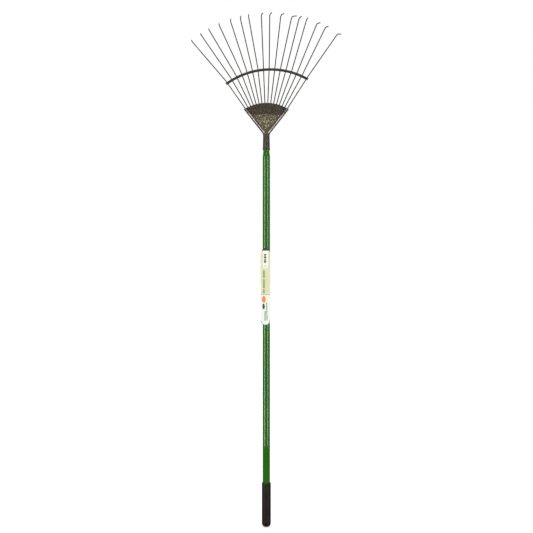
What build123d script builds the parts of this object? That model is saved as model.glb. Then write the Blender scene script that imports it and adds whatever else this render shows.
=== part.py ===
from build123d import *
from math import atan2, cos, degrees, hypot, radians, sin, sqrt, tan
import os

# Leaf rake with sixteen sprung wire tines.
# Frame: origin at the centre of the hang hole in the grip, +Z up along the handle
# to the head, -Y the working side that the hooked tine tips point to.
# All sizes are in millimetres and all angles in degrees.

# Handle
handle_length = 1222.0      # hang hole to the mouth of the head's socket
handle_radius = 12.0        # over the plastic coating
coating_thickness = 0.6
tube_wall = 1.0
taper_length = 27.0         # swaged length just below the socket
neck_reduction = 2.1        # of the radius, where the handle enters the socket
coating_entry = 2.5         # coating that goes into the socket
spigot_length = 46.0        # handle inside the socket
spigot_clearance = 0.2

# Grip
grip_radius = 14.8
grip_reach = 131.0          # hang hole to the grip's rim
dome_height = 11.8          # hang hole to the grip's closed end
dome_flat_radius = 5.0
grip_rim_fillet = 1.2
hang_hole_radius = 3.2
hang_hole_to_handle = 9.0
grip_clearance = 0.1

# Socket and neck of the head plate
sheet = 1.5
socket_length = 53.0
socket_clearance = 0.2      # round the handle's neck
socket_draw = 1.0           # taper of the socket's radius over its length
socket_lip_height = 3.0
socket_lip_proud = 0.5
flare_length = 36.0         # neck, from the round socket to the flat plate
flare_half_width = 24.0
flare_half_depth = 2.8

# Fan of the head plate
fan_centre_rise = 14.0      # fan centre above the socket mouth
lip_radius = 141.0
fan_half_angle = 30.0
crease_rise = 119.0         # crease above the socket mouth
crease_setback = 5.0        # front of the plate at the crease, behind the handle's axis
crease_bend_radius = 7.0
plate_foot_front = 9.4      # front of the plate at the socket's top, ahead of the axis
band_lean = 7.0             # upper band and tines, leaning towards the working side
bead_radius = 4.5
bead_foot_offset = 6.0      # bead's centre line from the axis, at the socket's top
bead_foot_front = 3.6
bead_bend_radius = 30.0
bead_run_in = 12.0          # bead along the socket, before it turns out
bead_foot_bend_radius = 25.0

# Tines
tine_count = 16
wire_radius = 1.65
lip_pitch = 3.91
root_depth = 26.0           # wire between the plates
root_bend_radius = 3.0
key_length = 4.4            # bent root end, from the wire's centre line
tip_length = 173.0          # from the crossbar to the hooked corner
bend_past_bar = 9.0
bend_radius = 60.0
tip_aim = -2.9              # mean direction of the outer lengths, + to the right
tip_pitch = 4.95
hook_length = 27.0
hook_bend_radius = 8.0
# Each tine is sprung a little out of its even place, and its hook is twisted.
tine_set = (-1, 0, -1, 0, 2, 2, 0, 3, 1, 2, 3, 0, -3, -2, -3, 1)
tine_twist = (0, 0, 0, 2, 5, 6, 3, 10, 12, 20, 32, 12, 6, 19, 15, 20)

# Crossbar
bar_radius = 250.0
bar_rise = 107.3            # middle of the bar above the plate's lip
bar_skew = -3.2
bar_pitch = 4.17
bar_width = 7.8
bar_sheet = 1.2
bar_web_gap = 0.3           # between the wires and the bar's web
bar_flange_reach = 3.4      # flanges behind the wires' centre lines
bar_corner_radius = 1.0
bar_overhang = 5.0
bar_hole_clearance = 0.2

# Back plate and its rivets
back_lip_inset = 4.0        # below the head plate's lip
back_foot_margin = 9.0      # below the tines' root ends
back_side_margin = 3.0      # outside the line of the beads
back_corner_fillet = 3.0
key_slot_clearance = 0.2
rivet_radius = 1.8
rivet_hole_clearance = 0.1
rivet_head_radius = 3.4
rivet_head_height = 1.4
rivet_inset = 13.0          # below the head plate's lip
rivet_tine_gaps = (-5, 0, 5)

# Rivet through the socket and the handle, at the back
socket_rivet_rise = 24.0    # above the socket mouth
socket_rivet_radius = 1.6
socket_rivet_head_radius = 3.4
socket_rivet_head_height = 1.6
socket_rivet_tail = 2.0     # upset end inside the tube
socket_rivet_tail_radius = 2.6

# Paper label
label_bottom = 650.0
label_length = 251.0
label_thickness = 0.4
label_clearance = 0.1
label_flag_reach = 18.8     # axis to the tip of the glued flag
label_flag_radius = 0.7
label_top_arch = 24.0
label_foot_arch = 9.0

# Radii of the handle's neck and of the socket that takes it
neck_radius = handle_radius - neck_reduction
socket_mouth_radius = neck_radius + socket_clearance + sheet
socket_top_radius = socket_mouth_radius - socket_draw

# Heights and planes that the pieces share
socket_mouth_z = handle_length
socket_top_z = socket_mouth_z + socket_length
fan_centre_z = socket_mouth_z + fan_centre_rise
lip_z = fan_centre_z + lip_radius
crease_z = socket_mouth_z + crease_rise
lip_front_y = crease_setback - (lip_z - crease_z) * tan(radians(band_lean))
wire_y = lip_front_y + (sheet + wire_radius) / cos(radians(band_lean))
tine_plane = Plane(
    origin=(0, wire_y, lip_z),
    x_dir=(1, 0, 0),
    z_dir=(0, -cos(radians(band_lean)), -sin(radians(band_lean))),
)

# The fan's straight sides, in front view
corner_x = lip_radius * sin(radians(fan_half_angle))
corner_z = fan_centre_z + lip_radius * cos(radians(fan_half_angle))
side_slope = (corner_x - bead_foot_offset) / (corner_z - socket_top_z)


def plate_front_y(z):
    """Front face of the head plate at a height, on the lower zone or the band."""
    if z > crease_z:
        return crease_setback - (z - crease_z) * tan(radians(band_lean))
    share = (z - socket_top_z) / (crease_z - socket_top_z)
    return -plate_foot_front + share * (crease_setback + plate_foot_front)


def side_x(z):
    """Distance of the fan's straight side from the axis at a height."""
    return bead_foot_offset + (z - socket_top_z) * side_slope


def socket_radius(z):
    """Outer radius of the tapered socket at a height."""
    share = (z - socket_mouth_z) / socket_length
    return socket_mouth_radius + share * (socket_top_radius - socket_mouth_radius)


def tine_offset(index):
    """Place of a tine in the fan, counted in pitches from the middle."""
    return index - (tine_count - 1) / 2


def lip_point(offset):
    """Point of the tine plane where a tine crosses the plate's lip."""
    angle = radians(offset * lip_pitch)
    return Vector(lip_radius * sin(angle), lip_radius * (cos(angle) - 1))


bar_centre = Vector(
    -bar_radius * sin(radians(bar_skew)),
    bar_rise - bar_radius * cos(radians(bar_skew)),
)


def bar_point(offset):
    """Point of the tine plane where a tine crosses the crossbar."""
    angle = radians(bar_skew + offset * bar_pitch)
    return bar_centre + Vector(bar_radius * sin(angle), bar_radius * cos(angle))


def inner_direction(offset):
    """Direction of a tine from the plate to the crossbar."""
    return (bar_point(offset) - lip_point(offset)).normalized()


def tine_path_points(index):
    """Corners of one tine, from its bent root to its hooked tip, in the tine plane."""
    offset = tine_offset(index)
    inner = inner_direction(offset)
    root = lip_point(offset) - inner * root_depth
    bend = bar_point(offset) + inner * bend_past_bar
    aim = radians(tip_aim + offset * tip_pitch + tine_set[index])
    outer = Vector(sin(aim), cos(aim))
    corner = bend + outer * (tip_length - bend_past_bar)
    twist = radians(tine_twist[index])
    hook = Vector(outer.Y * sin(twist), -outer.X * sin(twist), cos(twist))
    key_end = root - Vector(0, 0, key_length)
    tip = corner + hook * hook_length
    return [tuple(point) for point in (key_end, root, bend, corner, tip)]


def make_tine(index):
    """One sprung wire tine."""
    with BuildPart() as tine:
        with BuildLine(tine_plane) as path:
            FilletPolyline(
                *tine_path_points(index),
                radius=[root_bend_radius, bend_radius, hook_bend_radius],
            )
        with BuildSketch(Plane(origin=path.wire() @ 0, z_dir=path.wire() % 0)):
            Circle(wire_radius)
        sweep()
    return tine


def make_crossbar():
    """Curved channel whose flanges are pierced by the tines."""
    end_angle = degrees(bar_overhang / bar_radius)
    spread = (tine_count - 1) * bar_pitch + 2 * end_angle
    first = radians(bar_skew - spread / 2)
    centre = tine_plane.from_local_coords(bar_centre)
    radial = tine_plane.x_dir * sin(first) + tine_plane.y_dir * cos(first)
    section_plane = Plane(origin=centre, x_dir=radial, z_dir=radial.cross(tine_plane.z_dir))
    web_back = wire_radius + bar_web_gap
    inner_edge = bar_radius - bar_width / 2
    outer_edge = bar_radius + bar_width / 2
    with BuildPart() as crossbar:
        with BuildSketch(section_plane):
            with BuildLine():
                FilletPolyline(
                    (inner_edge, -bar_flange_reach),
                    (inner_edge, web_back + bar_sheet),
                    (outer_edge, web_back + bar_sheet),
                    (outer_edge, -bar_flange_reach),
                    radius=bar_corner_radius + bar_sheet,
                )
                offset(amount=bar_sheet, side=Side.RIGHT)
            make_face()
        revolve(axis=Axis(centre, -tine_plane.z_dir), revolution_arc=spread)
        for index in range(tine_count):
            place = tine_offset(index)
            inner = inner_direction(place)
            hole_centre = tine_plane.from_local_coords(bar_point(place))
            hole_axis = tine_plane.x_dir * inner.X + tine_plane.y_dir * inner.Y
            with BuildSketch(Plane(origin=hole_centre, z_dir=hole_axis)):
                Circle(wire_radius + bar_hole_clearance)
            extrude(amount=bar_width, both=True, mode=Mode.SUBTRACT)
    return crossbar


def rivet_places():
    """Centres of the head rivets in the tine plane, each midway between two tines."""
    for gap in rivet_tine_gaps:
        inner = inner_direction(gap)
        yield lip_point(gap) - inner * rivet_inset


def make_head_plate():
    """Dished fan with rolled side beads, neck and socket, formed from one sheet."""
    bead_setback = bead_radius - sheet / 2
    bead_top_y = plate_front_y(corner_z) - bead_setback
    bead_crease_y = crease_setback - bead_setback
    band_side = hypot(corner_x - side_x(crease_z), corner_z - crease_z)
    # The beads start flush with the socket's side.
    foot_angle = atan2(bead_foot_front, bead_foot_offset)
    run_in_offset = (socket_top_radius - bead_radius) * cos(foot_angle)
    run_in_front = (socket_top_radius - bead_radius) * sin(foot_angle)
    # Rolled beads for both straight sides, made on their own so that they join the sheet in one step.
    with BuildPart() as beads:
        for side in (-1, 1):
            with BuildLine() as bead_path:
                FilletPolyline(
                    (side * run_in_offset, -run_in_front, socket_top_z - bead_run_in),
                    (side * bead_foot_offset, -bead_foot_front, socket_top_z),
                    (side * side_x(crease_z), bead_crease_y, crease_z),
                    (side * corner_x, bead_top_y, corner_z),
                    radius=[bead_foot_bend_radius, bead_bend_radius],
                )
            with BuildSketch(Plane(origin=bead_path.wire() @ 0, z_dir=bead_path.wire() % 0)):
                Circle(bead_radius)
            sweep()
            with BuildSketch(Plane(origin=bead_path.wire() @ 1, z_dir=-(bead_path.wire() % 1))):
                Circle(bead_radius - sheet)
            extrude(amount=band_side, mode=Mode.SUBTRACT)
    with BuildPart() as head_plate:
        # Bent sheet, then cut to the fan outline.
        with BuildSketch(Plane.YZ):
            with BuildLine():
                FilletPolyline(
                    (-plate_foot_front, socket_top_z),
                    (crease_setback, crease_z),
                    (lip_front_y, lip_z),
                    radius=crease_bend_radius,
                )
                offset(amount=sheet, side=Side.RIGHT)
            make_face()
        extrude(amount=lip_radius, both=True)
        with BuildSketch(Plane.XZ):
            with BuildLine():
                Polyline(
                    (-corner_x, corner_z),
                    (-bead_foot_offset, socket_top_z),
                    (bead_foot_offset, socket_top_z),
                    (corner_x, corner_z),
                )
                ThreePointArc((corner_x, corner_z), (0, lip_z), (-corner_x, corner_z))
            make_face()
        extrude(amount=lip_radius, both=True, mode=Mode.INTERSECT)
        add(beads.part)
        # Neck, from the round socket to the flat plate.
        flare_top_z = socket_top_z + flare_length
        flare_y = plate_front_y(flare_top_z) + flare_half_depth
        with BuildSketch(Plane.XY.offset(socket_top_z)):
            Circle(socket_top_radius)
        with BuildSketch(Plane.XY.offset(flare_top_z)):
            with Locations((0, flare_y)):
                Ellipse(flare_half_width, flare_half_depth)
        loft()
        # Socket with its rolled lip.
        lip_top_z = socket_mouth_z + socket_lip_height
        with BuildSketch(Plane.XZ):
            with BuildLine():
                Polyline(
                    (0, socket_mouth_z),
                    (socket_mouth_radius + socket_lip_proud, socket_mouth_z),
                    (socket_mouth_radius + socket_lip_proud, lip_top_z),
                    (socket_radius(lip_top_z), lip_top_z),
                    (socket_top_radius, socket_top_z),
                    (0, socket_top_z),
                    close=True,
                )
            make_face()
        revolve(axis=Axis.Z)
        with BuildSketch(Plane.XZ):
            with BuildLine():
                Polyline(
                    (0, socket_mouth_z),
                    (socket_mouth_radius - sheet, socket_mouth_z),
                    (socket_top_radius - sheet, socket_top_z),
                    (0, socket_top_z),
                    close=True,
                )
            make_face()
        revolve(axis=Axis.Z, mode=Mode.SUBTRACT)
        with BuildSketch(Plane.XY.offset(socket_top_z)):
            Circle(socket_top_radius - sheet)
        with BuildSketch(Plane.XY.offset(flare_top_z)):
            with Locations((0, flare_y)):
                Ellipse(flare_half_width - sheet, flare_half_depth - sheet)
        loft(mode=Mode.SUBTRACT)
        # Holes for the rivets.
        with BuildSketch(tine_plane):
            with Locations(*rivet_places()):
                Circle(rivet_radius + rivet_hole_clearance)
        extrude(amount=wire_radius + 2 * sheet, mode=Mode.SUBTRACT)
        with BuildSketch(Plane.XZ):
            with Locations((0, socket_mouth_z + socket_rivet_rise)):
                Circle(socket_rivet_radius + rivet_hole_clearance)
        extrude(amount=-socket_mouth_radius, mode=Mode.SUBTRACT)
    return head_plate


def make_back_plate():
    """Plate behind the tines, slotted for their bent root ends."""
    outer_radius = lip_radius - back_lip_inset
    inner_radius = lip_radius - root_depth - back_foot_margin
    slot_reach = root_bend_radius - wire_radius
    foot_v = socket_top_z - lip_z
    top_v = bar_rise
    foot_x = bead_foot_offset + back_side_margin
    top_x = side_x(lip_z + top_v) + back_side_margin
    with BuildPart() as back_plate:
        with BuildSketch(tine_plane.offset(-wire_radius)) as outline:
            with Locations((0, -lip_radius)):
                Circle(outer_radius)
                Circle(inner_radius, mode=Mode.SUBTRACT)
            with BuildLine():
                Polyline(
                    (-foot_x, foot_v),
                    (-top_x, top_v),
                    (top_x, top_v),
                    (foot_x, foot_v),
                    close=True,
                )
            make_face(mode=Mode.INTERSECT)
            fillet(outline.vertices(), back_corner_fillet)
        extrude(amount=-sheet)
        with BuildSketch(tine_plane.offset(-wire_radius)):
            for index in range(tine_count):
                place = tine_offset(index)
                inner = inner_direction(place)
                slot_centre = lip_point(place) - inner * (root_depth - slot_reach / 2)
                with Locations(slot_centre):
                    SlotCenterToCenter(
                        slot_reach,
                        2 * (wire_radius + key_slot_clearance),
                        rotation=degrees(atan2(inner.Y, inner.X)),
                    )
            with Locations(*rivet_places()):
                Circle(rivet_radius + rivet_hole_clearance)
        extrude(amount=-sheet, mode=Mode.SUBTRACT)
    return back_plate


def make_head_rivets():
    """Rivets through both plates, flush in front and domed behind."""
    with BuildPart() as head_rivets:
        for place in rivet_places():
            centre = tine_plane.from_local_coords(place)
            with BuildSketch(Plane(origin=centre, z_dir=tine_plane.z_dir)):
                Circle(rivet_radius)
            extrude(amount=wire_radius + sheet)
            with BuildSketch(Plane(origin=centre, z_dir=-tine_plane.z_dir)):
                Circle(rivet_radius)
            extrude(amount=wire_radius + sheet)
            head_base = centre - tine_plane.z_dir * (wire_radius + sheet)
            with BuildSketch(Plane(origin=head_base, z_dir=-tine_plane.z_dir)):
                Circle(rivet_head_radius)
            extrude(amount=rivet_head_height, taper=dome_taper(rivet_head_radius, rivet_head_height))
    return head_rivets


def dome_taper(radius, height):
    """Side taper that draws a rivet head in to half its radius over its height."""
    return degrees(atan2(radius / 2, height))


def spigot_radius(z):
    """Outer radius of the bare tube inside the socket at a height."""
    low_z = socket_mouth_z + coating_entry
    high_z = socket_mouth_z + spigot_length
    low_radius = neck_radius - coating_thickness
    high_radius = socket_radius(high_z) - sheet - spigot_clearance
    return low_radius + (z - low_z) / (high_z - low_z) * (high_radius - low_radius)


def make_socket_rivet():
    """Rivet through the back of the socket and the handle's spigot."""
    rivet_z = socket_mouth_z + socket_rivet_rise
    head_y = socket_radius(rivet_z - socket_rivet_head_radius)
    bore_radius = spigot_radius(rivet_z + socket_rivet_tail_radius) - tube_wall
    tail_y = sqrt(bore_radius**2 - socket_rivet_tail_radius**2)
    with BuildPart() as socket_rivet:
        with BuildSketch(Plane.XZ.offset(-head_y)):
            with Locations((0, rivet_z)):
                Circle(socket_rivet_radius)
        extrude(amount=head_y - tail_y)
        with BuildSketch(Plane.XZ.offset(-head_y)):
            with Locations((0, rivet_z)):
                Circle(socket_rivet_head_radius)
        extrude(
            amount=-socket_rivet_head_height,
            taper=dome_taper(socket_rivet_head_radius, socket_rivet_head_height),
        )
        with BuildSketch(Plane.XZ.offset(-tail_y)):
            with Locations((0, rivet_z)):
                Circle(socket_rivet_tail_radius)
        extrude(amount=socket_rivet_tail)
    return socket_rivet


def make_handle_tube():
    """Steel tube with its swaged end."""
    core_radius = handle_radius - coating_thickness
    core_neck_radius = neck_radius - coating_thickness
    taper_z = socket_mouth_z - taper_length
    coating_top_z = socket_mouth_z + coating_entry
    spigot_top_z = socket_mouth_z + spigot_length
    outside = [
        (core_radius, hang_hole_to_handle),
        (core_radius, taper_z),
        (core_neck_radius, socket_mouth_z),
        (core_neck_radius, coating_top_z),
        (spigot_radius(spigot_top_z), spigot_top_z),
    ]
    inside = [(radius - tube_wall, z) for radius, z in reversed(outside)]
    with BuildPart() as handle_tube:
        with BuildSketch(Plane.XZ):
            with BuildLine():
                Polyline(*outside, *inside, close=True)
            make_face()
        revolve(axis=Axis.Z)
        rivet_z = socket_mouth_z + socket_rivet_rise
        with BuildSketch(Plane.XZ):
            with Locations((0, rivet_z)):
                Circle(socket_rivet_radius + rivet_hole_clearance)
        extrude(amount=-handle_radius, mode=Mode.SUBTRACT)
    return handle_tube


def make_handle_coating():
    """Green plastic skin over the tube, up to the socket."""
    taper_z = socket_mouth_z - taper_length
    coating_top_z = socket_mouth_z + coating_entry
    outside = [
        (handle_radius, hang_hole_to_handle),
        (handle_radius, taper_z),
        (neck_radius, socket_mouth_z),
        (neck_radius, coating_top_z),
    ]
    inside = [(radius - coating_thickness, z) for radius, z in reversed(outside)]
    with BuildPart() as handle_coating:
        with BuildSketch(Plane.XZ):
            with BuildLine():
                Polyline(*outside, *inside, close=True)
            make_face()
        revolve(axis=Axis.Z)
    return handle_coating


def make_grip():
    """Soft sleeve with a domed end and a hang hole."""
    bore_radius = handle_radius + grip_clearance
    with BuildPart() as grip:
        with BuildSketch(Plane.XZ):
            with BuildLine():
                Polyline(
                    (0, hang_hole_to_handle),
                    (bore_radius, hang_hole_to_handle),
                    (bore_radius, grip_reach),
                    (grip_radius, grip_reach),
                    (grip_radius, 0),
                )
                EllipticalCenterArc(
                    (dome_flat_radius, 0),
                    grip_radius - dome_flat_radius,
                    dome_height,
                    start_angle=270,
                    arc_size=90,
                )
                Polyline(
                    (dome_flat_radius, -dome_height),
                    (0, -dome_height),
                    (0, hang_hole_to_handle),
                )
            make_face()
        revolve(axis=Axis.Z)
        rim_edges = grip.edges().filter_by(GeomType.CIRCLE).group_by(Axis.Z)[-1]
        fillet(rim_edges.sort_by(SortBy.RADIUS)[-1], grip_rim_fillet)
        with BuildSketch(Plane.XZ):
            Circle(hang_hole_radius)
        extrude(amount=grip_radius, both=True, mode=Mode.SUBTRACT)
    return grip


def make_label_sleeve():
    """Paper wrap, glued to itself in a flag beside the handle, with rounded ends."""
    outer_radius = handle_radius + label_clearance + label_thickness
    with BuildPart() as label_sleeve:
        with BuildSketch(Plane.XY.offset(label_bottom)):
            Circle(outer_radius)
            with Locations((label_flag_radius - label_flag_reach, 0)):
                Circle(label_flag_radius)
            make_hull()
            with BuildSketch(mode=Mode.SUBTRACT):
                Circle(outer_radius - label_thickness)
                with Locations((label_flag_radius - label_flag_reach, 0)):
                    Circle(label_flag_radius - label_thickness)
                make_hull()
        extrude(amount=label_length)
        middle_x = (outer_radius - label_flag_reach) / 2
        half_width = (outer_radius + label_flag_reach) / 2
        low_z = label_bottom + label_foot_arch
        high_z = label_bottom + label_length - label_top_arch
        with BuildSketch(Plane.XZ):
            with BuildLine():
                Line((middle_x - half_width, low_z), (middle_x - half_width, high_z))
                Line((middle_x + half_width, low_z), (middle_x + half_width, high_z))
                EllipticalCenterArc((middle_x, high_z), half_width, label_top_arch, 0, arc_size=180)
                EllipticalCenterArc((middle_x, low_z), half_width, label_foot_arch, 180, arc_size=180)
            make_face()
        extrude(amount=label_flag_reach, both=True, mode=Mode.INTERSECT)
    return label_sleeve


os.makedirs("parts", exist_ok=True)
pieces = {
    "handle_tube": make_handle_tube(),
    "handle_coating": make_handle_coating(),
    "grip": make_grip(),
    "label_sleeve": make_label_sleeve(),
    "head_plate": make_head_plate(),
    "back_plate": make_back_plate(),
    "head_rivets": make_head_rivets(),
    "socket_rivet": make_socket_rivet(),
    "crossbar": make_crossbar(),
}
for number in range(tine_count):
    pieces[f"tine_{number + 1:02d}"] = make_tine(number)
for name, piece in pieces.items():
    piece.part.label = name
    export_step(piece.part, f"parts/{name}.step")
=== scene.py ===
import math

import bmesh
import bpy
from mathutils import Matrix, Vector


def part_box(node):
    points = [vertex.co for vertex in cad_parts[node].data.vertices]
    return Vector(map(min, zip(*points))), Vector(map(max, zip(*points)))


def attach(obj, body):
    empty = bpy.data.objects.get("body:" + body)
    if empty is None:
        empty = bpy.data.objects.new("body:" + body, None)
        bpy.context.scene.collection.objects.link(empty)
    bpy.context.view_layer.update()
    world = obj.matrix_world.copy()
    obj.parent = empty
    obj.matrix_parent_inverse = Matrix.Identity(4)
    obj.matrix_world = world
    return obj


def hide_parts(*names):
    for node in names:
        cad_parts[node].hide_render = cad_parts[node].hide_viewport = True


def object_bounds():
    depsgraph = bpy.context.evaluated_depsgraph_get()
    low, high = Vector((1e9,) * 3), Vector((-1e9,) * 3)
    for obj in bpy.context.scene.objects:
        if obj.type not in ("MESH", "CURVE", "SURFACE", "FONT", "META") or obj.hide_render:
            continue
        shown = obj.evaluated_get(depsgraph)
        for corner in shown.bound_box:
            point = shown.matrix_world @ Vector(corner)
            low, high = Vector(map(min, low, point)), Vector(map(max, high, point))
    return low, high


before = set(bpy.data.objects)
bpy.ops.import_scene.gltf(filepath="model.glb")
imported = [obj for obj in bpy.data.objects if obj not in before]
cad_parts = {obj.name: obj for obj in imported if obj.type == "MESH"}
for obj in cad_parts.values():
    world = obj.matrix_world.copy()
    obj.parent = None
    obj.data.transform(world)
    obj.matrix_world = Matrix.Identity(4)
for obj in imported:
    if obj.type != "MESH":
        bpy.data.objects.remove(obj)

CAD_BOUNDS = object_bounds()

# Sizes shared with the head plate and the handle, in metres
SOCKET_LENGTH = 0.0530
BEAD_FOOT_OFFSET = 0.0060       # bead's centre line from the axis, at the socket's top
BEAD_REACH = 0.0036             # plate's side edge beyond the bead's centre line at the corner
FAN_CORNER_RISE = 0.1361        # fan's corners above the socket mouth
CREST_INSET = 0.0007            # crest's glossy line and painted highlight, inside the bead's centre line
FOLD_ARCH = 2.2                 # how far the painted shade band's lower edge bows down, per metre
TAPER_LENGTH = 0.0270
NECK_REDUCTION = 0.0021

# ---------------------------------------------------------------------------
# Node helpers


class Shader:
    """A material's node tree with short calls for the nodes used here."""

    def __init__(self, name, roughness=0.5, metallic=0.0, specular=0.5, coat=0.0, coat_roughness=0.1,
                 tint=(1.0, 1.0, 1.0)):
        self.material = bpy.data.materials.new(name)
        self.material.use_nodes = True
        self.tree = self.material.node_tree
        self.bsdf = self.tree.nodes["Principled BSDF"]
        self.bsdf.inputs["Roughness"].default_value = roughness
        self.bsdf.inputs["Metallic"].default_value = metallic
        self.bsdf.inputs["Specular IOR Level"].default_value = specular
        self.bsdf.inputs["Coat Weight"].default_value = coat
        self.bsdf.inputs["Coat Roughness"].default_value = coat_roughness
        self.bsdf.inputs["Specular Tint"].default_value = (*tint, 1.0)
        coordinates = self.node("ShaderNodeTexCoord")
        self.place = coordinates.outputs["Object"]

    def node(self, kind, **settings):
        made = self.tree.nodes.new(kind)
        for key, value in settings.items():
            setattr(made, key, value)
        return made

    def feed(self, socket, value):
        if isinstance(value, bpy.types.NodeSocket):
            self.tree.links.new(value, socket)
        else:
            socket.default_value = value

    def math(self, operation, first, second=0.0, clamp=False):
        made = self.node("ShaderNodeMath", operation=operation, use_clamp=clamp)
        self.feed(made.inputs[0], first)
        self.feed(made.inputs[1], second)
        return made.outputs[0]

    def stretched(self, scale, source=None):
        made = self.node("ShaderNodeMapping")
        self.feed(made.inputs["Vector"], source or self.place)
        made.inputs["Scale"].default_value = scale
        return made.outputs[0]

    def warped(self, reach, scale):
        """Object coordinates pushed about by noise, so that patterns don't look regular."""
        made = self.node("ShaderNodeTexNoise")
        self.feed(made.inputs["Vector"], self.place)
        made.inputs["Scale"].default_value = scale
        push = self.node("ShaderNodeVectorMath", operation="MULTIPLY_ADD")
        self.feed(push.inputs[0], made.outputs["Color"])
        push.inputs[1].default_value = (reach, reach, reach)
        self.feed(push.inputs[2], self.place)
        return push.outputs[0]

    def noise(self, scale, detail=3.0, roughness=0.55, source=None):
        made = self.node("ShaderNodeTexNoise")
        self.feed(made.inputs["Vector"], source or self.place)
        made.inputs["Scale"].default_value = scale
        made.inputs["Detail"].default_value = detail
        made.inputs["Roughness"].default_value = roughness
        return made.outputs["Fac"]

    def cells(self, scale, feature="F1", smooth=0.5, source=None, output="Distance"):
        made = self.node("ShaderNodeTexVoronoi", feature=feature)
        self.feed(made.inputs["Vector"], source or self.place)
        made.inputs["Scale"].default_value = scale
        if feature == "SMOOTH_F1":
            made.inputs["Smoothness"].default_value = smooth
        return made.outputs[output]

    def span(self, value, low, high, out_low=0.0, out_high=1.0):
        """Smooth step from out_low to out_high as the value goes from low to high."""
        made = self.node("ShaderNodeMapRange", interpolation_type="SMOOTHSTEP")
        self.feed(made.inputs["Value"], value)
        made.inputs["From Min"].default_value = low
        made.inputs["From Max"].default_value = high
        made.inputs["To Min"].default_value = out_low
        made.inputs["To Max"].default_value = out_high
        return made.outputs["Result"]

    def mix(self, share, first, second, blend="MIX"):
        made = self.node("ShaderNodeMix", data_type="RGBA", blend_type=blend)
        self.feed(made.inputs["Factor"], share)
        for socket, value in ((made.inputs["A"], first), (made.inputs["B"], second)):
            if isinstance(value, tuple):
                value = (*value[:3], 1.0)
            self.feed(socket, value)
        return made.outputs["Result"]

    def axes(self, source=None):
        made = self.node("ShaderNodeSeparateXYZ")
        self.feed(made.inputs[0], source or self.place)
        return made.outputs

    def bump(self, height, distance, strength=1.0, under=None):
        made = self.node("ShaderNodeBump")
        self.feed(made.inputs["Height"], height)
        made.inputs["Distance"].default_value = distance
        made.inputs["Strength"].default_value = strength
        if under is not None:
            self.feed(made.inputs["Normal"], under)
        return made.outputs["Normal"]

    def rounded(self, radius):
        """Normal with the sharp edges softened."""
        made = self.node("ShaderNodeBevel", samples=4)
        made.inputs["Radius"].default_value = radius
        return made.outputs["Normal"]

    def edges(self, radius):
        """1 on worn convex or concave edges, 0 on open faces."""
        soft = self.rounded(radius)
        true_normal = self.node("ShaderNodeNewGeometry").outputs["True Normal"]
        product = self.node("ShaderNodeVectorMath", operation="DOT_PRODUCT")
        self.feed(product.inputs[0], soft)
        self.feed(product.inputs[1], true_normal)
        return self.span(product.outputs["Value"], 0.97, 0.80)

    def crevices(self, reach):
        """1 deep in corners and folds, 0 on open faces."""
        made = self.node("ShaderNodeAmbientOcclusion", samples=8)
        made.inputs["Distance"].default_value = reach
        return self.span(made.outputs["AO"], 0.88, 0.50)

    def finish(self, colour=None, roughness=None, normal=None, metallic=None):
        for name, value in (("Base Color", colour), ("Roughness", roughness),
                            ("Normal", normal), ("Metallic", metallic)):
            if value is not None:
                self.feed(self.bsdf.inputs[name], value)
        return self.material


# ---------------------------------------------------------------------------
# Materials


def off_bead_line(s):
    """Distance outward from the centre line of the nearer rolled bead, in front view."""
    x, y, z = s.axes()
    low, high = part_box("head_plate")
    foot_x, foot_z = BEAD_FOOT_OFFSET, low.z + SOCKET_LENGTH
    corner_x, corner_z = high.x - BEAD_REACH, low.z + FAN_CORNER_RISE
    slope = (corner_x - foot_x) / (corner_z - foot_z)
    line_x = s.math("ADD", foot_x, s.math("MULTIPLY", s.math("SUBTRACT", z, foot_z), slope))
    aside = s.math("SUBTRACT", s.math("ABSOLUTE", x), line_x)
    return s.math("MULTIPLY", aside, math.cos(math.atan(slope)))


def bead_crest_highlight(s, off_line, z, foot_z):
    """1 along the crest of each rolled bead, where a highlight is painted, broken up a little."""
    from_crest = s.math("ABSOLUTE", s.math("ADD", off_line, CREST_INSET))
    crest_highlight = s.span(from_crest, 0.0008, 0.0022, 1.0, 0.0)
    crest_highlight = s.math("MULTIPLY", crest_highlight, s.span(z, foot_z - 0.004, foot_z + 0.006))
    return s.math("MULTIPLY", crest_highlight, s.span(s.noise(60.0, detail=2.0), 0.25, 0.50, 0.65, 1.0))


def painted_shade_zones(s, off_line, crest_highlight, foot_z):
    """1 where shade is painted: on the band above the fold, beside the beads, on their outer sides and in
    crevices.
    """
    x, y, z = s.axes()
    mouth_z = foot_z - SOCKET_LENGTH
    arched_z = s.math("ADD", s.math("MULTIPLY", s.math("MULTIPLY", x, x), FOLD_ARCH), z)
    # Painted shade on the band above the fold and beside the beads.
    shade_above_fold = s.span(arched_z, mouth_z + 0.1150, mouth_z + 0.1215)
    shade_beside_beads = s.span(off_line, -0.0100, -0.0045)
    shade_beside_beads = s.math("MULTIPLY", shade_beside_beads, s.span(z, foot_z, foot_z + 0.030))
    shade_beside_beads = s.math("MULTIPLY", shade_beside_beads, 0.8)
    # Painted shade in crevices, joined with the band and the strip beside the beads.
    painted_shade = s.math("MAXIMUM", s.crevices(0.008), s.math("MAXIMUM", shade_beside_beads, shade_above_fold))
    # Painted shade on the beads' outer sides.
    painted_shade = s.math("MAXIMUM", painted_shade, s.span(off_line, 0.0006, 0.0024))
    return s.math("MULTIPLY", painted_shade, s.math("SUBTRACT", 1.0, crest_highlight))


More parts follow.
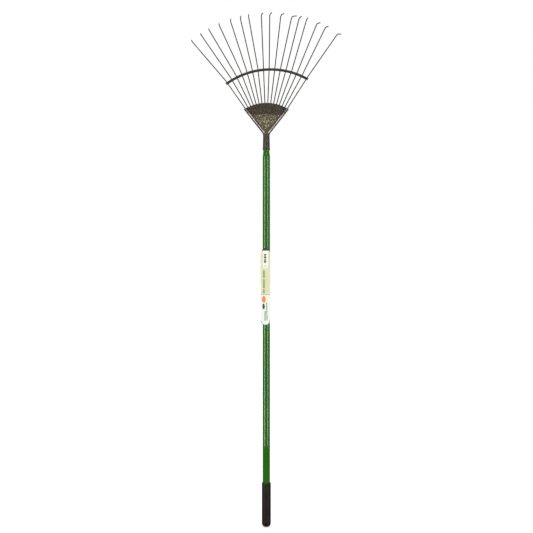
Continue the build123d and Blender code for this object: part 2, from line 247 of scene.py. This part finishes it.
def hammered_paint():
    """Bronze hammertone enamel: pebbled cells with metallic flake, darker in the veins, with painted
    highlights on the bead crests and painted shade above the fold, beside the beads and in crevices.
    """
    s = Shader("hammered_bronze_paint", coat_roughness=0.08, tint=(1.0, 0.86, 0.66))
    place = s.warped(0.0016, 260.0)
    cells = s.cells(270.0, feature="SMOOTH_F1", smooth=0.25, source=place)
    flake_value = s.axes(s.cells(430.0, output="Color", source=place))[0]
    fine = s.noise(1500.0, detail=2.0)
    patches = s.noise(22.0, detail=3.0)
    pebble = s.span(cells, 0.28, 0.62, 1.0, 0.0)
    body = s.mix(pebble, (0.007, 0.005, 0.004), (0.046, 0.036, 0.024))
    glint = s.math("MULTIPLY", s.span(flake_value, 0.45, 0.95), pebble)
    body = s.mix(s.math("MULTIPLY", glint, 0.80), body, (0.300, 0.290, 0.210))
    body = s.mix(s.span(patches, 0.35, 0.75, 0.0, 0.25), body, (0.060, 0.044, 0.032))
    worn = s.math("MULTIPLY", s.edges(0.0007), s.span(s.noise(140.0, detail=2.0), 0.35, 0.7))
    body = s.mix(s.math("MULTIPLY", worn, 0.30), body, (0.260, 0.240, 0.200))
    # Each bead's crest gets a painted highlight, a lighter line of colour, and is also made glossier so
    # that it catches real highlights.
    z = s.axes()[2]
    foot_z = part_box("head_plate")[0].z + SOCKET_LENGTH
    off_line = off_bead_line(s)
    crest_highlight = bead_crest_highlight(s, off_line, z, foot_z)
    # Painted highlight: lighter colour along the bead crests.
    body = s.mix(crest_highlight, body, (0.330, 0.290, 0.285))
    # Painted shade: colour darkened on the band above the fold, beside the beads, on their outer sides and
    # in crevices.
    painted_shade = painted_shade_zones(s, off_line, crest_highlight, foot_z)
    body = s.mix(s.math("MULTIPLY", painted_shade, 0.55), body, (0.016, 0.012, 0.009))
    flake = s.math("MULTIPLY", s.math("MAXIMUM", pebble, glint), s.math("SUBTRACT", 1.0, painted_shade))
    metallic = s.math("MAXIMUM", s.math("MULTIPLY", flake, 0.62), s.math("MULTIPLY", crest_highlight, 0.45))
    rough = s.math("SUBTRACT", 0.38, s.math("MULTIPLY", pebble, 0.20))
    rough = s.math("ADD", s.math("MULTIPLY", fine, 0.12), rough)
    rough = s.math("ADD", rough, s.math("MULTIPLY", painted_shade, 0.25))
    rough = s.math("SUBTRACT", rough, s.math("MULTIPLY", crest_highlight, 0.08))
    # The socket is glossier than the fan.
    socket_gloss = s.span(z, foot_z - 0.004, foot_z - 0.010, 0.0, 0.26)
    gloss = s.math("MAXIMUM", s.math("MULTIPLY", crest_highlight, 0.6), socket_gloss)
    s.feed(s.bsdf.inputs["Coat Weight"], gloss)
    height = s.math("ADD", pebble, s.math("MULTIPLY", fine, 0.10))
    smoothed = s.math("SUBTRACT", 1.0, s.math("MULTIPLY", crest_highlight, 0.8))
    height = s.math("MULTIPLY", height, smoothed)
    return s.finish(body, rough, s.bump(height, 0.00018, 0.8, under=s.rounded(0.0004)), metallic)


def wire_paint():
    """Thin dark lacquer over spring wire, rubbed near the hooked tips."""
    s = Shader("dark_wire_lacquer", specular=0.25, tint=(1.0, 0.80, 0.55))
    along = s.stretched((1.0, 1.0, 0.25))
    blotch = s.noise(160.0, detail=4.0, source=along)
    grain = s.noise(2400.0, detail=2.0)
    flecks = s.cells(900.0, output="Distance")
    colour = s.mix(s.span(blotch, 0.3, 0.72), (0.016, 0.009, 0.005), (0.036, 0.023, 0.014))
    colour = s.mix(s.span(flecks, 0.10, 0.04, 0.0, 0.4), colour, (0.110, 0.088, 0.062))
    x, y, z = s.axes()
    reach = s.span(y, -0.024, -0.052)
    rubbed = s.math("MULTIPLY", reach, s.span(s.noise(700.0, detail=3.0), 0.42, 0.66))
    colour = s.mix(s.math("MULTIPLY", rubbed, 0.6), colour, (0.240, 0.215, 0.180))
    rough = s.math("ADD", 0.30, s.math("MULTIPLY", grain, 0.24))
    height = s.math("ADD", s.math("MULTIPLY", grain, 0.4), blotch)
    return s.finish(colour, rough, s.bump(height, 0.00012, 0.6))


def crossbar_paint():
    """Black-brown semi-gloss enamel, thin on the pressed edges."""
    s = Shader("crossbar_enamel", metallic=0.15, coat=0.3, coat_roughness=0.2)
    blotch = s.noise(90.0, detail=4.0)
    peel = s.cells(700.0, feature="SMOOTH_F1", smooth=0.8)
    grain = s.noise(1800.0, detail=2.0)
    colour = s.mix(s.span(blotch, 0.3, 0.7), (0.018, 0.014, 0.009), (0.038, 0.031, 0.021))
    worn = s.math("MULTIPLY", s.edges(0.0005), s.span(blotch, 0.36, 0.64))
    colour = s.mix(s.math("MULTIPLY", worn, 0.6), colour, (0.150, 0.130, 0.100))
    rough = s.math("ADD", 0.28, s.math("MULTIPLY", grain, 0.2))
    height = s.math("ADD", peel, s.math("MULTIPLY", grain, 0.2))
    return s.finish(colour, rough, s.bump(height, 0.00010, 0.5, under=s.rounded(0.0003)))


def green_coating():
    """Glossy green extruded skin with faint draw lines and fine scuffs."""
    s = Shader("green_coated_skin", specular=0.15, coat_roughness=0.05)
    lines = s.noise(1500.0, detail=2.0, source=s.stretched((1.0, 1.0, 0.004)))
    clouds = s.noise(9.0, detail=3.0, source=s.stretched((1.0, 1.0, 0.35)))
    ripple = s.noise(60.0, detail=2.0, source=s.stretched((1.0, 1.0, 0.3)))
    speck = s.cells(420.0, output="Distance")
    colour = s.mix(s.span(clouds, 0.3, 0.7), (0.016, 0.112, 0.004), (0.026, 0.140, 0.007))
    colour = s.mix(s.span(lines, 0.50, 0.80, 0.0, 0.18), colour, (0.040, 0.175, 0.016))
    colour = s.mix(s.span(speck, 0.06, 0.03, 0.0, 0.3), colour, (0.090, 0.180, 0.060))
    scuff = s.span(s.noise(240.0, detail=5.0, source=s.stretched((1.0, 1.0, 0.06))), 0.62, 0.76)
    colour = s.mix(s.math("MULTIPLY", scuff, 0.12), colour, (0.140, 0.240, 0.090))
    rough = s.math("ADD", s.math("MULTIPLY", lines, 0.04), s.math("MULTIPLY", scuff, 0.16))
    rough = s.math("ADD", rough, 0.075)
    # The coating is duller where the tube was swaged for the socket.
    mouth_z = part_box("head_plate")[0].z
    gloss = s.span(s.axes()[2], mouth_z - 0.030, mouth_z - 0.022, 0.9, 0.25)
    s.feed(s.bsdf.inputs["Coat Weight"], gloss)
    height = s.math("ADD", s.math("MULTIPLY", lines, 0.10), s.math("MULTIPLY", ripple, 0.3))
    return s.finish(colour, rough, s.bump(height, 0.00004, 0.5))


def grip_vinyl():
    """Black-brown dipped vinyl: soft sheen, fine pores, a moulding seam and light rubbing."""
    s = Shader("grip_vinyl", specular=0.28, coat=0.12, coat_roughness=0.22)
    pores = s.cells(1300.0, feature="SMOOTH_F1", smooth=0.6)
    skin = s.noise(420.0, detail=4.0)
    clouds = s.noise(30.0, detail=3.0)
    colour = s.mix(s.span(clouds, 0.3, 0.7), (0.013, 0.009, 0.005), (0.022, 0.015, 0.008))
    rubbed = s.span(s.noise(120.0, detail=5.0, source=s.stretched((1.0, 1.0, 0.25))), 0.56, 0.72)
    colour = s.mix(s.math("MULTIPLY", rubbed, 0.25), colour, (0.060, 0.046, 0.030))
    dust = s.span(s.cells(260.0, output="Distance"), 0.09, 0.03, 0.0, 0.3)
    colour = s.mix(dust, colour, (0.100, 0.080, 0.055))
    x, y, z = s.axes()
    seam = s.span(s.math("ABSOLUTE", y), 0.0, 0.00035, 1.0, 0.0)
    rough = s.math("ADD", 0.40, s.math("MULTIPLY", skin, 0.20))
    rough = s.math("SUBTRACT", rough, s.math("MULTIPLY", rubbed, 0.10))
    height = s.math("ADD", s.math("MULTIPLY", pores, 0.35), s.math("MULTIPLY", skin, 0.5))
    height = s.math("ADD", height, s.math("MULTIPLY", seam, 1.2))
    return s.finish(colour, rough, s.bump(height, 0.00010, 0.6))


def bare_steel():
    """Drawn steel tube, hidden inside the skin."""
    s = Shader("drawn_steel", metallic=1.0)
    lines = s.noise(2200.0, detail=3.0, source=s.stretched((1.0, 1.0, 0.01)))
    colour = s.mix(s.span(lines, 0.3, 0.7), (0.36, 0.35, 0.34), (0.56, 0.55, 0.53))
    rough = s.math("ADD", 0.28, s.math("MULTIPLY", lines, 0.2))
    return s.finish(colour, rough, s.bump(lines, 0.00005, 0.4))


class LabelPrint:
    """Flat printed shapes laid over each other on the label's front, by x and z in metres."""

    def __init__(self, shader, ground):
        self.s = shader
        self.x, self.y, self.z = shader.axes()
        self.colour = ground
        self.front = shader.span(self.y, 0.0010, -0.0010)

    def inside(self, value, low, high, soft=0.0002):
        rise = self.s.span(value, low - soft, low + soft)
        fall = self.s.span(value, high - soft, high + soft, 1.0, 0.0)
        return self.s.math("MULTIPLY", rise, fall)

    def lay(self, mask, colour, strength=1.0):
        mask = self.s.math("MULTIPLY", mask, strength)
        self.colour = self.s.mix(mask, self.colour, colour)

    def block(self, x_low, x_high, z_low, z_high, front_only=True):
        across = self.inside(self.x, x_low, x_high)
        mask = self.s.math("MULTIPLY", across, self.inside(self.z, z_low, z_high))
        return self.s.math("MULTIPLY", mask, self.front) if front_only else mask

    def disc(self, x_mid, z_mid, x_half, z_half):
        across = self.s.math("DIVIDE", self.s.math("SUBTRACT", self.x, x_mid), x_half)
        up = self.s.math("DIVIDE", self.s.math("SUBTRACT", self.z, z_mid), z_half)
        square = self.s.math("ADD", self.s.math("POWER", self.s.math("ABSOLUTE", across), 2.0),
                             self.s.math("POWER", self.s.math("ABSOLUTE", up), 2.0))
        return self.s.math("MULTIPLY", self.s.span(square, 0.92, 1.08, 1.0, 0.0), self.front)

    def rows(self, mask, pitch, fill):
        """Breaks a block into uneven dashes along the label, like lines of small print."""
        wave = self.s.math("FRACT", self.s.math("DIVIDE", self.z, pitch))
        dash = self.s.span(wave, fill - 0.04, fill + 0.04, 1.0, 0.0)
        return self.s.math("MULTIPLY", mask, dash)


def label_paper():
    """Printed card: cream and ivory fields with plain bars, blocks and dots."""
    s = Shader("label_card", specular=0.08)
    low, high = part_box("label_sleeve")
    left, right, bottom, top = low.x, high.x, low.z, high.z
    middle = (left + right) / 2
    ivory = (0.870, 0.860, 0.780)
    cream = (0.745, 0.715, 0.450)
    p = LabelPrint(s, ivory)
    divider = bottom + 0.0985
    field_top = top - 0.0092
    p.lay(s.span(p.z, divider, divider + 0.0002), cream)
    p.lay(s.span(p.z, field_top, field_top + 0.0003), (0.001, 0.066, 0.032))
    p.lay(p.block(left, right, divider - 0.0016, divider + 0.0012, False), (0.330, 0.540, 0.380))
    # White panel with a plain grey stripe block and a pale line under it.
    panel_low = field_top - 0.0560
    p.lay(p.block(middle - 0.0078, middle + 0.0085, panel_low, field_top - 0.0008), (0.900, 0.900, 0.880))
    bars = p.block(middle - 0.0046, middle + 0.0030, field_top - 0.0400, field_top - 0.0110)
    stripe = s.span(s.noise(1.0, detail=0.0, source=s.stretched((0.0, 0.0, 420.0))), 0.40, 0.52)
    p.lay(s.math("MULTIPLY", bars, stripe), (0.040, 0.036, 0.044))
    under_bars = p.block(middle - 0.0049, middle + 0.0050, field_top - 0.0530, field_top - 0.0475)
    p.lay(under_bars, (0.600, 0.640, 0.860))
    # Greeked vertical lines of print on the cream field.
    for start, length in ((0.0640, 0.0260), (0.0935, 0.0290), (0.1262, 0.0135)):
        line_top = field_top - start
        p.lay(p.rows(p.block(middle - 0.0078, middle - 0.0018, line_top - length, line_top), 0.0046, 0.84),
              (0.070, 0.270, 0.120), 0.9)
    small_print = (0.420, 0.560, 0.330)
    column = p.block(middle + 0.0008, middle + 0.0026, divider + 0.0050, field_top - 0.0640)
    p.lay(p.rows(column, 0.0021, 0.62), small_print, 0.7)
    column = p.block(middle + 0.0042, middle + 0.0060, divider + 0.0080, field_top - 0.0700)
    p.lay(p.rows(column, 0.0027, 0.70), small_print, 0.6)
    # Ivory field: an orange dot, a green dot and small print.
    p.lay(p.disc(middle - 0.0050, divider - 0.0160, 0.0062, 0.0115), (0.900, 0.250, 0.055))
    p.lay(p.disc(middle - 0.0058, divider - 0.0390, 0.0040, 0.0092), (0.001, 0.090, 0.032))
    for left_edge, right_edge, low_gap, high_gap, pitch in (
            (0.0016, 0.0064, 0.0640, 0.0245, 0.0052),
            (-0.0036, 0.0014, 0.0860, 0.0550, 0.0031),
            (0.0026, 0.0076, 0.0840, 0.0650, 0.0046)):
        block = p.block(middle + left_edge, middle + right_edge, divider - low_gap, divider - high_gap)
        p.lay(p.rows(block, pitch, 0.78), (0.110, 0.350, 0.230), 0.9)
    # Teal corners round an ivory arch at the foot.
    arch = s.math("SUBTRACT", 1.0, p.disc(middle, bottom + 0.0165, 0.0135, 0.0165))
    foot = s.math("MULTIPLY", s.span(p.z, bottom + 0.0155, bottom + 0.0150), arch)
    p.lay(foot, (0.090, 0.600, 0.430))
    fibre = s.noise(1600.0, detail=3.0)
    crease = s.noise(70.0, detail=3.0)
    colour = s.mix(s.span(fibre, 0.35, 0.8, 0.0, 0.10), p.colour, (0.70, 0.66, 0.52))
    edge = s.edges(0.0005)
    colour = s.mix(s.math("MULTIPLY", edge, 0.12), colour, (0.85, 0.83, 0.76))
    rough = s.math("ADD", 0.42, s.math("MULTIPLY", fibre, 0.2))
    height = s.math("ADD", s.math("MULTIPLY", fibre, 0.12), crease)
    return s.finish(colour, rough, s.bump(height, 0.00030, 0.35))


# ---------------------------------------------------------------------------
# Pieces


def new_piece(name, mesh_builder, material):
    mesh = bpy.data.meshes.new(name)
    work = bmesh.new()
    mesh_builder(work)
    bmesh.ops.recalc_face_normals(work, faces=work.faces)
    work.to_mesh(mesh)
    work.free()
    piece = bpy.data.objects.new(name, mesh)
    bpy.context.scene.collection.objects.link(piece)
    mesh.materials.append(material)
    for polygon in mesh.polygons:
        polygon.use_smooth = True
    return piece


def lathe(work, profile, segments=96):
    """Closed ring of the profile, points of (radius, height), turned about the Z axis."""
    rings = []
    for radius, height in profile:
        ring = []
        for index in range(segments):
            angle = 2 * math.pi * index / segments
            ring.append(work.verts.new((radius * math.cos(angle), radius * math.sin(angle), height)))
        rings.append(ring)
    for lower, upper in zip(rings, rings[1:] + rings[:1]):
        for index in range(segments):
            after = (index + 1) % segments
            work.faces.new((lower[index], lower[after], upper[after], upper[index]))


def eased(low, high, share):
    return low + (high - low) * (1 - math.cos(math.pi * share)) / 2


def make_handle_skin(material):
    """The coated tube, with a soft shoulder where it is swaged down to the socket."""
    low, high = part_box("handle_coating")
    neck_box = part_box("handle_tube")
    radius = high.x
    wall = radius - neck_box[1].x
    neck = radius - NECK_REDUCTION
    mouth_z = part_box("head_plate")[0].z
    steps = 12
    # Close rings at both ends keep the long wall's shading straight.
    bevel = 0.0003
    outside = [(radius - bevel, low.z), (radius, low.z + bevel), (radius, low.z + 4 * bevel)]
    for step in range(steps + 1):
        share = step / steps
        outside.append((eased(radius, neck, share), mouth_z - TAPER_LENGTH + TAPER_LENGTH * share))
    outside += [(neck, high.z - bevel), (neck - bevel, high.z)]
    inside = []
    for outer_radius, z in reversed(outside):
        at_end = z in (low.z, high.z)
        inside.append((outer_radius - wall + (bevel if at_end else 0.0), z))
    piece = new_piece("handle_skin", lambda work: lathe(work, outside + inside, segments=128), material)
    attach(piece, "root")
    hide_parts("handle_coating")


def dress(nodes, material):
    for name in nodes:
        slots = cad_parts[name].material_slots
        for slot in slots:
            slot.material = material


hammered = hammered_paint()
tine_names = sorted(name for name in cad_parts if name.startswith("tine_"))
dress(["head_plate", "back_plate", "head_rivets", "socket_rivet"], hammered)
dress(tine_names, wire_paint())
dress(["crossbar"], crossbar_paint())
dress(["grip"], grip_vinyl())
dress(["label_sleeve"], label_paper())
dress(["handle_tube"], bare_steel())
make_handle_skin(green_coating())

# ---------------------------------------------------------------------------
# Floor, light and camera

middle_z = 0.840
floor_z = CAD_BOUNDS[0][2]


def make_floor():
    shader = Shader("pale_floor", roughness=0.8, specular=0.0)
    shader.bsdf.inputs["Emission Color"].default_value = (1.0, 1.0, 1.0, 1.0)
    shader.bsdf.inputs["Emission Strength"].default_value = 0.42
    mottle = shader.noise(6.0, detail=4.0)
    colour = shader.mix(mottle, (0.90, 0.90, 0.90), (0.93, 0.93, 0.925))
    material = shader.finish(colour)
    floor = new_piece(
        "studio_floor",
        lambda work: bmesh.ops.create_circle(work, cap_ends=True, radius=30.0, segments=96,
                                             matrix=Matrix.Translation((0, 0, floor_z))),
        material,
    )
    floor.visible_glossy = False


def area_light(name, place, aim, size, power, colour=(1.0, 1.0, 1.0)):
    """A light that shows in reflections only; the world lights the matt surfaces."""
    data = bpy.data.lights.new(name, "AREA")
    data.shape = "RECTANGLE"
    data.size, data.size_y = size
    data.energy = power
    data.color = colour
    lamp = bpy.data.objects.new(name, data)
    bpy.context.scene.collection.objects.link(lamp)
    lamp.location = place
    direction = Vector(aim) - Vector(place)
    lamp.rotation_euler = direction.to_track_quat("-Z", "Y").to_euler()
    lamp.visible_diffuse = False


def make_world():
    """White to the camera, an even fill on matt surfaces, a dim room in reflections."""
    world = bpy.data.worlds.new("studio")
    bpy.context.scene.world = world
    world.cycles.sampling_method = "NONE"
    world.use_nodes = True
    nodes, links = world.node_tree.nodes, world.node_tree.links
    direction = nodes.new("ShaderNodeTexCoord")
    split = nodes.new("ShaderNodeSeparateXYZ")
    links.new(direction.outputs["Generated"], split.inputs[0])

    def ramp(axis, low, high, out_low, out_high):
        made = nodes.new("ShaderNodeMapRange")
        made.interpolation_type = "SMOOTHSTEP"
        made.inputs["From Min"].default_value = low
        made.inputs["From Max"].default_value = high
        made.inputs["To Min"].default_value = out_low
        made.inputs["To Max"].default_value = out_high
        links.new(split.outputs[axis], made.inputs["Value"])
        return made.outputs[0]

    def backdrop(strength):
        made = nodes.new("ShaderNodeBackground")
        made.inputs["Color"].default_value = (1.0, 1.0, 1.0, 1.0)
        if isinstance(strength, float):
            made.inputs["Strength"].default_value = strength
        else:
            links.new(strength, made.inputs["Strength"])
        return made.outputs[0]

    def pick(share, first, second):
        made = nodes.new("ShaderNodeMixShader")
        links.new(share, made.inputs["Fac"])
        links.new(first, made.inputs[1])
        links.new(second, made.inputs[2])
        return made.outputs[0]

    room = nodes.new("ShaderNodeMath")
    links.new(ramp("Y", -0.5, 0.9, 0.03, 0.05), room.inputs[0])
    links.new(ramp("Z", 0.3, 1.0, 0.0, 0.12), room.inputs[1])
    path = nodes.new("ShaderNodeLightPath")
    fill = backdrop(ramp("Y", -1.0, 1.0, 1.05, 0.70))
    shade = pick(path.outputs["Is Glossy Ray"], fill, backdrop(room.outputs[0]))
    shade = pick(path.outputs["Is Camera Ray"], shade, backdrop(1.0))
    links.new(shade, nodes["World Output"].inputs["Surface"])


def make_camera():
    distance = 2.35
    field = 1.748
    data = bpy.data.cameras.new("camera")
    data.sensor_width = 36.0
    data.lens = data.sensor_width * distance / field
    camera = bpy.data.objects.new("camera", data)
    bpy.context.scene.collection.objects.link(camera)
    camera.location = (0.0005, -distance, middle_z)
    camera.rotation_euler = (math.radians(90), 0, 0)
    bpy.context.scene.camera = camera


make_floor()
make_world()
area_light("strip_left", (-1.15, -0.87, 0.76), (0, 0, 0.76), (0.32, 1.72), 19.0, (1.0, 0.94, 1.0))
area_light("strip_right", (1.02, -1.02, 0.76), (0, 0, 0.76), (0.24, 1.72), 15.5, (1.0, 0.94, 1.0))
area_light("overhead_front", (0.0, -1.5, 2.45), (0, 0, 1.32), (1.2, 0.8), 14.0, (0.97, 1.0, 0.82))
area_light("front_card", (0.0, -2.0, 2.12), (0, 0, 1.31), (0.5, 0.34), 4.6, (1.0, 0.94, 0.97))
make_camera()

bpy.context.scene.view_settings.view_transform = "Standard"
